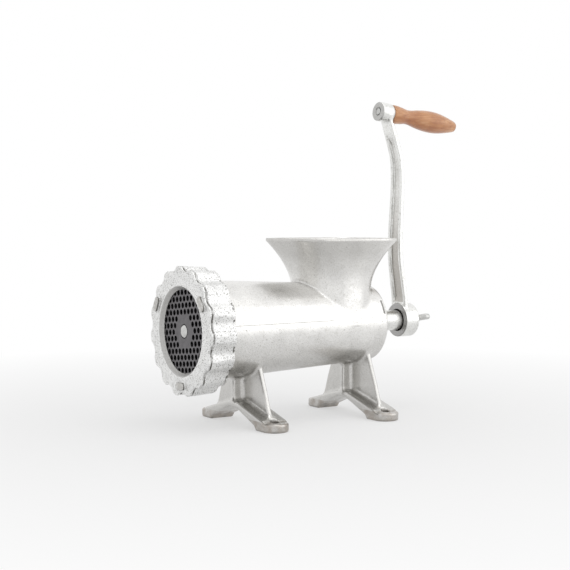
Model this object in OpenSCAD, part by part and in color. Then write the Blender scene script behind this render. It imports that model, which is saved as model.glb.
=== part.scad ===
// Bench-mounted hand crank meat grinder, built piece by piece in millimetres.
// +X runs along the screw axis towards the crank, the meat leaves at -X and +Z is up.
// The origin is the centre of the four foot holes, on the bench.

/* [Barrel casting] */
// Height of the screw axis above the bench
axis_h = 103; // [100:0.5:112]
// From the foot centre to the back face of the ring nut
front_reach = 117.5; // [114:0.5:125]
// From the foot centre to the back face of the barrel
rear_reach = 92; // [90:0.5:100]
// Outside radius of the barrel just behind the ring nut
barrel_front_r = 52.8; // [52:0.2:55]
// Outside radius of the barrel at its back end
barrel_rear_r = 43.4; // [42:0.2:46]
// Wall of the barrel around the screw
barrel_wall = 6; // [4:0.5:7]
// Thickness of the barrel's closed back wall
rear_wall = 14; // [10:1:18]
// Length of the bearing boss behind the back wall
boss_len = 14; // [12:1:20]
// Radius of the bearing boss at its free end
boss_r = 17.5; // [17.5:0.5:21]
// Wall of the threaded collar around the plate
collar_wall = 7.8; // [6:0.2:10]
// Rounding of the barrel's back edge
rear_round = 5; // [5:0.5:10]
// Wall of the back bush
bush_wall = 3; // [2:0.25:3.5]
// Thickness of the back bush's flange
bush_flange_t = 1.5; // [1.5:0.25:3]
// Radius of the key pin that stops the plate turning
key_r = 3; // [2.5:0.25:3.5]
// Length of the key pin
key_len = 12; // [10:0.5:16]

/* [Hopper] */
// Centre of the hopper along the screw axis
hopper_x = 42.4; // [40:0.2:45]
// Height of the hopper rim above the bench
rim_h = 199; // [190:1:220]
// Half length of the rim, along the screw axis
rim_half_x = 66.5; // [58:0.5:70]
// Half width of the rim, across the screw axis
rim_half_y = 55; // [50:0.5:60]
// Radius of the round neck where it meets the barrel
neck_r = 44.6; // [43:0.2:44.6]
// Height of the flared part of the hopper
flare_h = 58; // [40:1:60]
// Height of the upright lip at the rim
rim_lip = 3; // [2:0.5:6]
// Wall of the hopper
hopper_wall = 5.2; // [4:0.2:7]
// How late the flare opens, 1 for a straight cone
flare_power = 2; // [1.2:0.1:2.2]

/* [Legs and feet] */
// From the foot centre to each pair of feet, along the screw axis
foot_x = 71.5; // [68:0.5:75]
// From the screw axis to each foot hole, across it
foot_y = 62; // [58:0.5:68]
// Width of a foot pad and of the arch between the feet
foot_w = 30; // [26:1:34]
// Thickness of a foot pad
pad_t = 9.5; // [7:0.5:12]
// Radius of a foot hole
foot_hole_r = 4.5; // [3:0.25:5.5]
// Thickness of the web plate of a leg
web_t = 5; // [4:0.5:8]
// Thickness of the middle rib of a leg
rib_t = 7; // [5:0.5:10]
// Height of the underside of the arch
arch_h = 20.5; // [16:0.5:24]
// Thickness of the arch at its crown
arch_t = 6; // [5:0.5:9]
// Half width of a leg's web just below the barrel
web_top_y = 31; // [26:1:36]
// Half width of a leg's web at its waist
web_waist_y = 46; // [42:1:48]
// How far the web's shoulder stands off the back of the barrel
web_stand = 1; // [0.5:0.5:2]

/* [Ring nut] */
// Length of the ring nut
ring_len = 31.5; // [29:0.5:36]
// Crest radius at the front of the ring nut
ring_front_r = 68.7; // [68:0.1:72]
// Crest radius at the back of the ring nut
ring_back_r = 66.7; // [66.5:0.1:70]
// Number of grip ribs round the ring nut
ring_ribs = 15; // [12:1:18]
// Depth of the hollows between the grip ribs
flute_depth = 5; // [3:0.5:6]
// Radius of each hollow
flute_r = 11.5; // [9:0.5:14]
// Thickness of the lip that holds the plate
lip_t = 5.2; // [4:0.2:7]
// Radius of the opening at the front of the lip
lip_front_r = 47.2; // [46.5:0.1:48]
// Radius of the opening where the lip meets the plate
lip_back_r = 43.2; // [43:0.2:46]
// Height of the three wrench lugs on the front face
lug_h = 3; // [2:0.5:5]
// Length of a wrench lug, along the rim
lug_len = 17; // [12:1:22]
// Width of a wrench lug, towards the axis
lug_w = 8; // [5:0.5:10]
// Radius of the circle that the wrench lugs stand on
lug_place_r = 57; // [54:0.5:59]
// Advance of the ring nut in one turn
ring_pitch = 3; // [2:0.5:4]

/* [Plate and knife] */
// Radius of the grinder plate
plate_r = 49.5; // [49:0.1:50]
// Thickness of the grinder plate
plate_t = 9.5; // [8:0.5:12]
// Radius of one hole in the plate
hole_r = 2.95; // [1.5:0.05:3.1]
// Spacing of the holes along a row
hole_pitch = 7.8; // [6.4:0.1:9]
// Spacing of the rows
row_pitch = 6.8; // [6:0.1:9]
// Radius of the bare middle of the plate
bare_r = 17; // [15:0.5:22]
// Turn of the rows of holes
hole_turn = -6; // [-30:1:30]
// Widening of the plate's centre hole at its front face
plate_relief = 0.9; // [0.4:0.1:1.5]
// Depth of that widening
plate_relief_depth = 3; // [2:0.5:5]
// Thickness of the knife
knife_t = 10; // [8:0.5:12]
// Length of one knife blade from the middle
blade_len = 44; // [40:0.5:46]
// Width of one knife blade
blade_w = 11; // [8:0.5:14]
// Turn of the knife's blades on its square
knife_turn = 20; // [0:5:45]
// How far the plate stands out of its recess
plate_proud = 1.3; // [0.8:0.1:2]

/* [Screw] */
// Radius of the screw's core
core_r = 16; // [14:0.5:19]
// Spacing of the screw's turns
flight_pitch = 46; // [38:1:55]
// Thickness of the screw's thread at its root
flight_t = 8; // [6:0.5:10]
// Radius of the front stud that turns in the plate
stud_r = 6.7; // [6:0.1:7]
// How far the stud's nose stands out of the plate
stud_proud = 1.6; // [1:0.1:4.5]
// Length of the stud's rounded nose
nose_round = 1.5; // [1:0.1:3]
// Radius of the stud's shank inside the screw
stud_shank_r = 5; // [4:0.25:5.5]
// Depth of the stud's shank inside the screw
stud_depth = 16; // [10:1:24]
// Side of the square that drives the knife
square_w = 19; // [18:0.5:22]
// Radius of the journal in the back bush
journal_r = 12; // [11.5:0.1:13]
// Radius of the drive end that carries the crank
shaft_r = 11.6; // [10:0.1:11.8]
// Distance across the two flats of the drive end
flats_w = 16; // [14:0.5:18]

/* [Crank] */
// Gap between the bearing boss and the crank hub
hub_gap = 29.2; // [20:0.2:30]
// Length of the crank hub
hub_len = 19.6; // [16:0.1:22]
// Radius of the crank hub
hub_r = 19.5; // [18:0.5:22]
// Height of the handle boss above the screw axis
crank_h = 239; // [225:0.5:250]
// How far the handle boss sits forward of the hub
boss_back = 30; // [24:0.2:32]
// Width of the crank arm at the hub
arm_low_w = 27; // [24:0.5:32]
// Width of the crank arm at the handle boss
arm_top_w = 18; // [15:0.5:20]
// Thickness of the crank arm
arm_t = 5.2; // [4.5:0.1:8]
// Depth of the channel on both faces of the arm
channel_d = 1.3; // [0.8:0.1:1.6]
// Width of the flanges beside the channel
flange_w = 4.5; // [3.5:0.1:6]
// Tilt of the handle, down from the screw axis
handle_tilt = 7; // [4:1:12]
// Rounding of the hub's back edge
hub_round = 3; // [2:0.5:5]
// Depth of the round recess in the hub's front face
drive_recess = 6; // [4:0.5:8]
// Gap round the shaft in that recess
drive_gap = 0.8; // [0.5:0.1:1.5]
// Relief cut in the arm round the back face of the handle boss
boss_relief = 3; // [2:0.5:5]

/* [Handle] */
// Radius of the boss that holds the spindle
handle_boss_r = 11; // [10:0.2:13]
// Length of the boss that holds the spindle
handle_boss_len = 16.4; // [14:0.2:20]
// Radius of the spindle
spindle_r = 3.6; // [3:0.1:4]
// Length of the wooden grip
grip_len = 94; // [90:1:106]
// Greatest radius of the wooden grip
grip_r = 12.4; // [12:0.1:15]
// Depth of the recess for the spindle's head in the end of the grip
end_recess = 5; // [4:0.5:8]

/* [Fasteners and washers] */
// Thickness of the plain washers
washer_t = 1.6; // [1:0.1:2.5]
// Radius of the thumb screw's thread
screw_r = 5; // [4:0.25:5.5]
// Length of the thumb screw's thread
screw_len = 24; // [18:1:26]
// Span of the thumb screw's wings
wing_span = 34; // [28:1:40]
// Thickness of the thumb screw's wings
wing_t = 7; // [4:0.5:7]
// Turn of the wings at rest
wing_turn = 165; // [0:3:177]

/* [Clearances] */
// Radial play of a running fit
run_gap = 0.06; // [0.02:0.01:0.1]
// Play of threads and of parts that lift out
slip_gap = 0.3; // [0.2:0.05:0.5]
// Gap between the screw's thread and the barrel
flight_gap = 0.8; // [0.5:0.1:1.5]

/* [Hidden] */
$fn = 96;
joint_eps = 0.5;
seat_gap = 0.02;
face_gap = 0.1;
// How far behind the lip's edge the outermost holes may be centred
hole_over = 1.2;

// Stations along the screw axis, front to back
ring_back_x = -front_reach;
ring_front_x = ring_back_x - ring_len;
plate_front_x = ring_front_x + lip_t;
plate_back_x = plate_front_x + plate_t;
knife_front_x = plate_back_x + face_gap;
knife_back_x = knife_front_x + knife_t;
collar_front_x = plate_front_x + plate_proud;
recess_back_x = knife_back_x + face_gap + joint_eps;
bore_end_x = rear_reach - rear_wall;
shoulder_x = bore_end_x - washer_t - 2 * face_gap;
boss_end_x = rear_reach + boss_len;
hub_front_x = boss_end_x + hub_gap;
hub_back_x = hub_front_x + hub_len;
shaft_end_x = hub_back_x - 1;
flats_x = hub_front_x + drive_recess - face_gap;
screw_head_x = hub_back_x + washer_t;

// Radii that follow from one another
recess_r = plate_r + slip_gap;
collar_r = recess_r + collar_wall;
thread_bore_r = collar_r + slip_gap;
bore_front_r = barrel_front_r - barrel_wall;
bore_rear_r = barrel_rear_r - barrel_wall;
bush_bore_r = journal_r + run_gap;
bush_r = bush_bore_r + bush_wall;
bush_flange_r = bush_r + 1.6;

// Radius of the barrel's outside or bore at station x
function barrel_r(x) = barrel_front_r
    + (barrel_rear_r - barrel_front_r) * (x - ring_back_x) / (rear_reach - ring_back_x);
function bore_r(x) = bore_front_r
    + (bore_rear_r - bore_front_r) * (x - recess_back_x) / (bore_end_x - recess_back_x);

// Point of a smooth curve through four neighbouring points, at u from 0 to 1
function curve_point(a, b, c, d, u) = 0.5 * (2 * b + (c - a) * u
    + (2 * a - 5 * b + 4 * c - d) * u * u + (3 * b - a - 3 * c + d) * u * u * u);
// Smooth curve through all points, with the given steps from one to the next
function smooth(pts, steps) = [
    for (i = [0:len(pts) - 2])
        let (a = pts[max(i - 1, 0)], b = pts[i], c = pts[i + 1], d = pts[min(i + 2, len(pts) - 1)])
            for (k = [0:steps - 1]) curve_point(a, b, c, d, k / steps),
    pts[len(pts) - 1]];

// Places children on the screw axis at station x, with their Z pointing along +X
module on_axis(x) {
    translate([x, 0, axis_h]) rotate([0, 90, 0]) children();
}

// A body turned about the screw axis, given as [station, radius] points
module turned(outline) {
    on_axis(0) rotate_extrude() polygon([for (p = outline) [p[1], p[0]]]);
}

// A round bar on the screw axis between two stations
module bar(from_x, to_x, r) {
    on_axis(from_x) cylinder(r = r, h = to_x - from_x);
}

// ---- Body casting ----

flare_steps = 8;
hopper_sides = 72;

// Share of the flare reached at height z
function flare(z) = z <= rim_h - flare_h ? 0
    : pow(min(1, (z - rim_h + flare_h) / (flare_h - rim_lip)), flare_power);
// Ring of points round the hopper at height z, moved inwards by inset
function hopper_ring(z, inset) =
    let (t = flare(z), hx = neck_r + (rim_half_x - neck_r) * t - inset,
        hy = neck_r + (rim_half_y - neck_r) * t - inset, power = 2 / (2 + 2 * t))
    [for (i = [0:hopper_sides - 1])
        let (a = 360 * i / hopper_sides, c = cos(a), s = sin(a))
            [hopper_x + hx * sign(c) * pow(abs(c), power), hy * sign(s) * pow(abs(s), power), z]];
hopper_levels = [axis_h,
    for (k = [0:flare_steps]) rim_h - flare_h + (flare_h - rim_lip) * k / flare_steps, rim_h];

// Solid inside a stack of hopper rings, carried up by extra at the top
module hopper_solid(inset, extra) {
    rings = len(hopper_levels);
    last = hopper_ring(rim_h, inset);
    points = [for (z = hopper_levels) each hopper_ring(z, inset), for (p = last) p + [0, 0, extra]];
    levels = extra > 0 ? rings + 1 : rings;
    n = hopper_sides;
    polyhedron(
        points = [for (i = [0:levels * n - 1]) points[i]],
        faces = [
            [for (i = [0:n - 1]) i],
            for (k = [0:levels - 2])
                for (i = [0:n - 1])
                    [k * n + i, (k + 1) * n + i, (k + 1) * n + (i + 1) % n, k * n + (i + 1) % n],
            [for (i = [0:n - 1]) levels * n - 1 - i]]);
}

module barrel_outside() {
    turned([[collar_front_x, 0], [collar_front_x, collar_r], [ring_back_x - joint_eps, collar_r],
        [ring_back_x - joint_eps, barrel_r(ring_back_x)],
        [rear_reach - rear_round, barrel_r(rear_reach - rear_round)],
        for (a = [15:15:90]) [rear_reach - rear_round * (1 - sin(a)),
            barrel_r(rear_reach) - rear_round * (1 - cos(a))],
        [rear_reach, boss_r + 4], [boss_end_x, boss_r], [boss_end_x, 0]]);
}

module barrel_inside() {
    turned([[collar_front_x - 1, 0], [collar_front_x - 1, recess_r], [recess_back_x, recess_r],
        [recess_back_x, bore_r(recess_back_x)], [bore_end_x, bore_r(bore_end_x)], [bore_end_x, 0]]);
    bar(bore_end_x - 1, boss_end_x + 1, bush_r + seat_gap);
    key_place() cylinder(r = key_r + seat_gap, h = key_len + 1);
}

// Key position at the bottom of the recess
module key_place() {
    translate([0, 0, -recess_r]) on_axis(collar_front_x) children();
}

web_low_y = foot_y - 6;
// The web and the rib run up into the bore, which cuts them off at the barrel's inner wall
leg_top_h = axis_h - bore_rear_r * 2 / 3;
web_shoulder_h = axis_h - sqrt(pow(barrel_r(foot_x) + web_stand, 2) - pow(web_top_y, 2));
arch_foot_y = foot_y - foot_w / 2;

// Side view of one leg's arch, from foot to foot
module arch_outline() {
    half = [[0, arch_h + arch_t], [10, arch_h + arch_t - 1], [foot_y - 2, pad_t + 2.5],
        [foot_y + 3, pad_t], [foot_y + foot_w / 2 + 1, pad_t], [foot_y + foot_w / 2 + 1, 0],
        [arch_foot_y + 1, 0], [arch_foot_y - 3, pad_t / 2], [8, arch_h - 1.7], [0, arch_h]];
    for (side = [0, 1]) mirror([side, 0]) polygon(half);
}

// Side view of one leg's web plate
module web_outline() {
    half = [[0, leg_top_h], [web_top_y, web_shoulder_h], [web_top_y + 3, web_shoulder_h - 4],
        [web_waist_y, axis_h * 0.36], [web_low_y - 5, pad_t + 13], [web_low_y, pad_t + 3],
        [web_low_y + 2, pad_t / 2], [arch_foot_y, pad_t / 2], [8, arch_h - 1.7], [0, arch_h]];
    for (side = [0, 1]) mirror([side, 0]) polygon(half);
}

// Extrudes a side view, drawn as [Y, Z], along X about the leg's middle
module leg_slab(x, t) {
    translate([x - t / 2, 0, 0]) rotate([90, 0, 90]) linear_extrude(t) children();
}

module leg(x) {
    intersection() {
        leg_slab(x, foot_w) arch_outline();
        linear_extrude(axis_h) {
            translate([x - foot_w / 2, -foot_y]) square([foot_w, 2 * foot_y]);
            for (side = [-1, 1]) translate([x, side * foot_y]) circle(r = foot_w / 2);
        }
    }
    leg_slab(x, web_t) web_outline();
    translate([x - foot_w / 2, -rib_t / 2, arch_h + 1]) cube([foot_w, rib_t, leg_top_h - arch_h - 1]);
}

module body_casting() {
    color("lightgray") difference() {
        union() {
            barrel_outside();
            hopper_solid(0, 0);
            for (x = [-foot_x, foot_x]) leg(x);
        }
        barrel_inside();
        hopper_solid(hopper_wall, 1);
        for (x = [-foot_x, foot_x])
            for (y = [-foot_y, foot_y])
                translate([x, y, -1]) cylinder(r = foot_hole_r, h = 2 * pad_t);
    }
}

module rear_bush() {
    color("silver") turned([[bore_end_x, bush_bore_r], [bore_end_x, bush_r],
        [boss_end_x, bush_r], [boss_end_x, bush_flange_r], [boss_end_x + bush_flange_t, bush_flange_r],
        [boss_end_x + bush_flange_t, bush_bore_r]]);
}

module plate_key() {
    color("gray") key_place() cylinder(r = key_r, h = key_len);
}

module thrust_washer() {
    color("saddlebrown") turned([for (p = [[0, journal_r + slip_gap], [0, bore_rear_r - 10],
        [washer_t, bore_rear_r - 10], [washer_t, journal_r + slip_gap]])
            [shoulder_x + face_gap + p[0], p[1]]]);
}

// ---- Screw and knife ----

flight_front_x = knife_back_x + 2;
flight_back_x = bore_end_x - 8;
flight_turns = (flight_back_x - flight_front_x - flight_t) / flight_pitch;
step_angle = 12;
flight_steps = floor(flight_turns * 360 / step_angle);
flight_tip_t = flight_t * 0.6;

// Four corners of the thread's section, i steps from its back end, in [station, radius]
function flight_section(i) =
    let (x = flight_back_x - flight_t / 2 - i * step_angle * flight_pitch / 360,
        tip = bore_r(x) - flight_gap)
    [[x - flight_t / 2, core_r - 2], [x - flight_tip_t / 2, tip],
        [x + flight_tip_t / 2, tip], [x + flight_t / 2, core_r - 2]];
// The same corners turned to their place round the screw
function flight_points(i) = [for (p = flight_section(i))
    [p[1] * cos(i * step_angle), p[1] * sin(i * step_angle), p[0]]];

// The thread, with its twisted faces split along one diagonal so that their shape is definite
module auger_thread() {
    n = flight_steps;
    on_axis(0) polyhedron(
        points = [for (i = [0:n]) each flight_points(i)],
        faces = [
            [3, 2, 1, 0],
            for (i = [0:n - 1])
                for (k = [0:3])
                    let (here = 4 * i, next = 4 * i + 4, m = (k + 1) % 4)
                        each [[here + k, here + m, next + m], [here + k, next + m, next + k]],
            [4 * n, 4 * n + 1, 4 * n + 2, 4 * n + 3]]);
}

module auger() {
    collar_r2 = bore_rear_r - 8;
    color("silver") difference() {
        union() {
            turned([[knife_back_x + face_gap, 0], [knife_back_x + face_gap, core_r],
                [shoulder_x - 6, core_r + 2], [shoulder_x - 6, collar_r2], [shoulder_x, collar_r2],
                [shoulder_x, journal_r], [boss_end_x + bush_flange_t, journal_r],
                [boss_end_x + bush_flange_t, shaft_r], [shaft_end_x, shaft_r], [shaft_end_x, 0]]);
            auger_thread();
            translate([knife_front_x + 1, -square_w / 2, axis_h - square_w / 2])
                cube([knife_t + 1, square_w, square_w]);
        }
        for (side = [-1, 1])
            translate([flats_x, side * flats_w / 2 - (side < 0 ? shaft_r : 0), axis_h - shaft_r])
                cube([hub_len, shaft_r, 2 * shaft_r]);
        bar(shaft_end_x - screw_len - 2, shaft_end_x + 1, screw_r + slip_gap / 2);
        bar(knife_front_x, knife_back_x + stud_depth, stud_shank_r + seat_gap);
    }
}

module front_stud() {
    nose_x = plate_front_x - stud_proud;
    color("silver") turned([[nose_x, 0], [nose_x + nose_round * 0.16, stud_r * 0.5],
        [nose_x + nose_round * 0.5, stud_r * 0.86], [nose_x + nose_round, stud_r], [plate_back_x, stud_r],
        [plate_back_x, stud_shank_r + 1], [knife_front_x + 1 - seat_gap, stud_shank_r + 1],
        [knife_front_x + 1 - seat_gap, stud_shank_r], [knife_back_x + stud_depth - 1, stud_shank_r],
        [knife_back_x + stud_depth - 1, 0]]);
}

module knife() {
    blades = 4;
    hub = square_w * 0.5 * sqrt(2) + 3.5;
    color("dimgray") difference() {
        union() {
            bar(knife_front_x, knife_back_x, hub);
            for (k = [0:blades - 1]) on_axis(knife_front_x) rotate([0, 0, 360 * k / blades + knife_turn])
                rotate([90, 0, 90]) linear_extrude(blade_len)
                    polygon([[-blade_w / 2, 0], [blade_w / 2, 0], [blade_w / 2 - 3, knife_t * 0.8],
                        [-blade_w / 2 + 3, knife_t * 0.8]]);
        }
        translate([knife_front_x - 1, -square_w / 2 - face_gap, axis_h - square_w / 2 - face_gap])
            cube([knife_t + 2, square_w + 2 * face_gap, square_w + 2 * face_gap]);
    }
}

module grinder_plate() {
    rows = ceil(lip_back_r / row_pitch);
    columns = ceil(lip_back_r / hole_pitch);
    color("dimgray") on_axis(plate_front_x) difference() {
        linear_extrude(plate_t) difference() {
            circle(r = plate_r);
            circle(r = stud_r + run_gap);
            translate([recess_r, 0]) circle(r = key_r + slip_gap);
            rotate(hole_turn) for (row = [-rows:rows])
                for (column = [-columns:columns]) {
                    place = [row * row_pitch, (column + (row % 2 == 0 ? 0 : 0.5)) * hole_pitch];
                    if (norm(place) > bare_r && norm(place) < lip_back_r + hole_over)
                        translate(place) circle(r = hole_r);
                }
        }
        translate([0, 0, -1]) cylinder(r = stud_r + plate_relief, h = plate_relief_depth + 1);
    }
}

// ---- Ring nut ----

first_rib_angle = -3;
first_lug_angle = -63;

module ring_nut() {
    rib_angle = 360 / ring_ribs;
    color("gainsboro") difference() {
        union() {
            on_axis(ring_front_x) cylinder(r1 = ring_front_r, r2 = ring_back_r, h = ring_len);
            for (k = [0:2]) on_axis(ring_front_x) rotate([0, 0, 180 + first_lug_angle + 120 * k])
                translate([lug_place_r - lug_w / 2, -lug_len / 2, -lug_h]) cube([lug_w, lug_len, lug_h + 1]);
        }
        for (k = [0:ring_ribs - 1])
            on_axis(ring_front_x - 1) rotate([0, 0, 180 + first_rib_angle + rib_angle * (k + 0.5)])
                translate([ring_front_r - flute_depth + flute_r, 0]) cylinder(r = flute_r, h = ring_len + 2);
        on_axis(ring_front_x - lug_h) cylinder(h = lip_t + lug_h,
            r1 = lip_front_r + (lip_front_r - lip_back_r) * lug_h / lip_t, r2 = lip_back_r);
        bar(plate_front_x, ring_back_x + 1, thread_bore_r);
    }
}

// ---- Crank ----

boss_mid_x = hub_front_x + hub_len / 2 - boss_back;
boss_mid_z = axis_h + crank_h;
// Front face of the arm from the hub up to the handle boss, as shares of boss_back and crank_h
arm_line = smooth([for (p = [[0.084, 0.02], [0.049, 0.11], [-0.052, 0.195], [-0.15, 0.29],
    [-0.171, 0.365], [-0.147, 0.47], [-0.098, 0.583], [-0.073, 0.68], [-0.126, 0.775],
    [-0.227, 0.825], [-0.353, 0.873], [-0.479, 0.919], [-0.647, 0.98]])
        [hub_front_x + p[0] * boss_back, axis_h + p[1] * crank_h]], 4);

// Side view of the arm between two depths behind its front face
module arm_side(from_t, to_t, first, last) {
    polygon([for (i = [first:last]) arm_line[i] + [from_t, 0],
        for (i = [last:-1:first]) arm_line[i] + [to_t, 0]]);
}

// Extrudes a side view, drawn as [X, Z], across Y
module across(width) {
    translate([0, width / 2, 0]) rotate([90, 0, 0]) linear_extrude(width) children();
}

// Front view of the arm, narrowed on both sides by inset
module arm_front(inset) {
    translate([boss_mid_x - boss_back, 0, 0]) rotate([90, 0, 90])
        linear_extrude(hub_back_x - boss_mid_x + 2 * boss_back)
            polygon([[-arm_low_w / 2 + inset, axis_h], [arm_low_w / 2 - inset, axis_h],
                [arm_top_w / 2 - inset, boss_mid_z], [-arm_top_w / 2 + inset, boss_mid_z]]);
}

module at_handle() {
    translate([boss_mid_x, 0, boss_mid_z]) rotate([0, 90 + handle_tilt, 0]) children();
}

arm_last = len(arm_line) - 1;

module crank_arm() {
    half_boss = handle_boss_len / 2;
    color("silver") difference() {
        union() {
            turned([[hub_front_x, 0], [hub_front_x, hub_r - 1], [hub_front_x + 1, hub_r],
                [hub_back_x - hub_round, hub_r],
                for (a = [30:30:90]) [hub_back_x - hub_round * (1 - sin(a)),
                    hub_r - hub_round * (1 - cos(a))], [hub_back_x, 0]]);
            difference() {
                intersection() {
                    across(arm_low_w + 2) arm_side(0, arm_t, 0, arm_last);
                    arm_front(0);
                }
                on_handle(0) cylinder(r = handle_boss_r + boss_relief, h = 3 * arm_t);
            }
            at_handle() rotate_extrude() polygon([[0, -half_boss], [handle_boss_r - 1, -half_boss],
                [handle_boss_r, 1 - half_boss], [handle_boss_r, half_boss - 1],
                [handle_boss_r - 1, half_boss], [0, half_boss]]);
        }
        intersection() {
            across(arm_low_w) {
                arm_side(-arm_t, channel_d, 6, arm_last - 4);
                arm_side(arm_t - channel_d, 2 * arm_t, 6, arm_last - 4);
            }
            arm_front(flange_w);
        }
        bar(hub_front_x - 1, hub_front_x + drive_recess, shaft_r + drive_gap);
        intersection() {
            bar(hub_front_x, hub_back_x + 1, shaft_r + run_gap);
            translate([hub_front_x, -flats_w / 2 - run_gap, axis_h - hub_r])
                cube([hub_len + 1, flats_w + 2 * run_gap, 2 * hub_r]);
        }
        at_handle() cylinder(r = spindle_r + seat_gap, h = 2 * handle_boss_len, center = true);
        at_handle() translate([0, 0, -half_boss - 1]) cylinder(r = spindle_r + 1.1, h = 2.2);
    }
}

module crank_washer() {
    color("silver") turned([[hub_back_x, screw_r + slip_gap], [hub_back_x, shaft_r + 2],
        [hub_back_x + washer_t, shaft_r + 2], [hub_back_x + washer_t, screw_r + slip_gap]]);
}

wing_root = 8;

module thumb_screw() {
    neck = 9;
    half = [[0, 0], [wing_root, 0], [wing_span / 2 - 4, 4.5], [wing_span / 2, 9],
        [wing_span / 2 - 1.2, 15], [wing_span / 2 - 4.5, 17], [wing_root + 1, 11.5],
        [wing_root - 2, neck], [0, neck]];
    color("silver") {
        turned([[screw_head_x - screw_len, 0], [screw_head_x - screw_len, screw_r - 1],
            [screw_head_x - screw_len + 1, screw_r], [screw_head_x, screw_r],
            [screw_head_x, wing_root], [screw_head_x + neck - 2, wing_root - 1],
            [screw_head_x + neck, wing_root - 3], [screw_head_x + neck, 0]]);
        on_axis(screw_head_x) rotate([0, 0, wing_turn])
            for (side = [0, 1]) mirror([0, side, 0])
                translate([wing_t / 2, 0, 1]) rotate([90, 0, -90]) mirror([1, 0, 0])
                    linear_extrude(wing_t) polygon(half);
    }
}

// ---- Handle, along its own axis from the back face of the boss ----

grip_start = washer_t + face_gap;
end_head_t = 2.6;
end_head_r = 5;
// Outline of the grip, as shares of its length and of its greatest radius
grip_line = smooth([for (p = [[0, 0.806], [0.031, 0.853], [0.082, 0.845], [0.158, 0.767],
    [0.232, 0.667], [0.309, 0.705], [0.387, 0.829], [0.463, 0.915], [0.539, 0.977], [0.616, 1],
    [0.694, 0.977], [0.772, 0.899], [0.85, 0.783], [0.929, 0.636], [0.974, 0.543], [1, 0.473]])
        [p[1] * grip_r, p[0] * grip_len]], 3);

// Places children on the handle's axis, z behind the boss
module on_handle(z) {
    at_handle() translate([0, 0, handle_boss_len / 2 + z]) children();
}

module handle_spindle() {
    head_z = grip_start + grip_len - end_recess + washer_t;
    front = -handle_boss_len + 1.2;
    color("silver") on_handle(0) rotate_extrude() polygon([[0, front - 1.6], [spindle_r * 0.6, front - 1.4],
        [spindle_r, front - 0.6], [spindle_r, head_z], [end_head_r, head_z], [end_head_r, head_z + 1.4],
        [end_head_r - 1.5, head_z + end_head_t], [0, head_z + end_head_t]]);
}

module handle_washer() {
    color("silver") on_handle(0) difference() {
        cylinder(r = handle_boss_r - 1.6, h = washer_t);
        translate([0, 0, -1]) cylinder(r = spindle_r + seat_gap, h = washer_t + 2);
    }
}

module handle_end_washer() {
    color("silver") on_handle(grip_start + grip_len - end_recess) difference() {
        cylinder(r = end_head_r, h = washer_t);
        translate([0, 0, -1]) cylinder(r = spindle_r + seat_gap, h = washer_t + 2);
    }
}

module handle_grip() {
    color("peru") on_handle(grip_start) difference() {
        rotate_extrude() polygon([[0, 0], each grip_line, [0, grip_len]]);
        translate([0, 0, -1]) cylinder(r = spindle_r + run_gap, h = grip_len + 2);
        translate([0, 0, grip_len - end_recess - face_gap])
            cylinder(r = end_head_r + slip_gap, h = end_recess + 1);
    }
}

body_casting();
rear_bush();
plate_key();
thrust_washer();
auger();
front_stud();
knife();
grinder_plate();
ring_nut();
crank_arm();
crank_washer();
thumb_screw();
handle_spindle();
handle_washer();
handle_end_washer();
handle_grip();
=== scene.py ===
import math
import bpy
import numpy as np
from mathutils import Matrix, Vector


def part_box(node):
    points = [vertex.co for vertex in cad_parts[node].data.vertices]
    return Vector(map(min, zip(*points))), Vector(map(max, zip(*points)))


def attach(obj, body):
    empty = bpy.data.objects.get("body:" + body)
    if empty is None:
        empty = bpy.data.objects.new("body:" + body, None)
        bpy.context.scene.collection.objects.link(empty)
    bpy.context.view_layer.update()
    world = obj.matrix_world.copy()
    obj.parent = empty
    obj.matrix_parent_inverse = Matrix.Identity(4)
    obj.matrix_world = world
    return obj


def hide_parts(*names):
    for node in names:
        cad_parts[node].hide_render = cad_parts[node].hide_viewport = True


# A bench-mounted hand crank meat grinder. Lengths are in millimetres until a mesh is made.
# +X runs along the screw axis towards the crank, the meat leaves at -X and +Z is up.

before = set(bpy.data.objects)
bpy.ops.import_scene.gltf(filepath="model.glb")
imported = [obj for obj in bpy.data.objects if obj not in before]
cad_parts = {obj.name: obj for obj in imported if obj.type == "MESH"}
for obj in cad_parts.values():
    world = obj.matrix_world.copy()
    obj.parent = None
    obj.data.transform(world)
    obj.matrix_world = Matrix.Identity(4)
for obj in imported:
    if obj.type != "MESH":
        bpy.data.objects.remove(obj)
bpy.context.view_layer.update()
MM = 0.001


def node_box(node):
    """Lowest and highest corner of a CAD node, in millimetres."""
    return [np.array(corner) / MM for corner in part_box(node)]


# ---- Driving sizes ----

body_low, body_high = node_box("body_casting")
ring_low, ring_high = node_box("ring_nut")
arm_low, arm_high = node_box("crank_arm")
plate_low, plate_high = node_box("grinder_plate")
knife_high = node_box("knife")[1]
auger_low, auger_high = node_box("auger")
bush_low, bush_high = node_box("rear_bush")

axis_h = (plate_low[2] + plate_high[2]) / 2
ring_back_x = ring_high[0]
rear_x = 92.0
boss_end_x = body_high[0]
collar_front_x = body_low[0]
rim_h = body_high[2]

barrel_front_r, barrel_rear_r = 52.8, 43.4
barrel_wall, rear_wall = 6.0, 14.0
rear_round = 5.0
boss_r, boss_taper = 17.5, 4.0
plate_r = (plate_high[2] - plate_low[2]) / 2
thread_play = 0.3
recess_r = plate_r + thread_play
collar_r = recess_r + 7.8
bore_end_x = rear_x - rear_wall
recess_back_x = knife_high[0] + 0.6
bush_flange_w = 1.6

hopper_x, neck_r, hopper_wall = 42.4, 44.6, 5.2
rim_half_x, rim_half_y = 66.5, 55.0
flare_h, flare_power, rim_lip = 58.0, 2.0, 3.0

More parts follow.
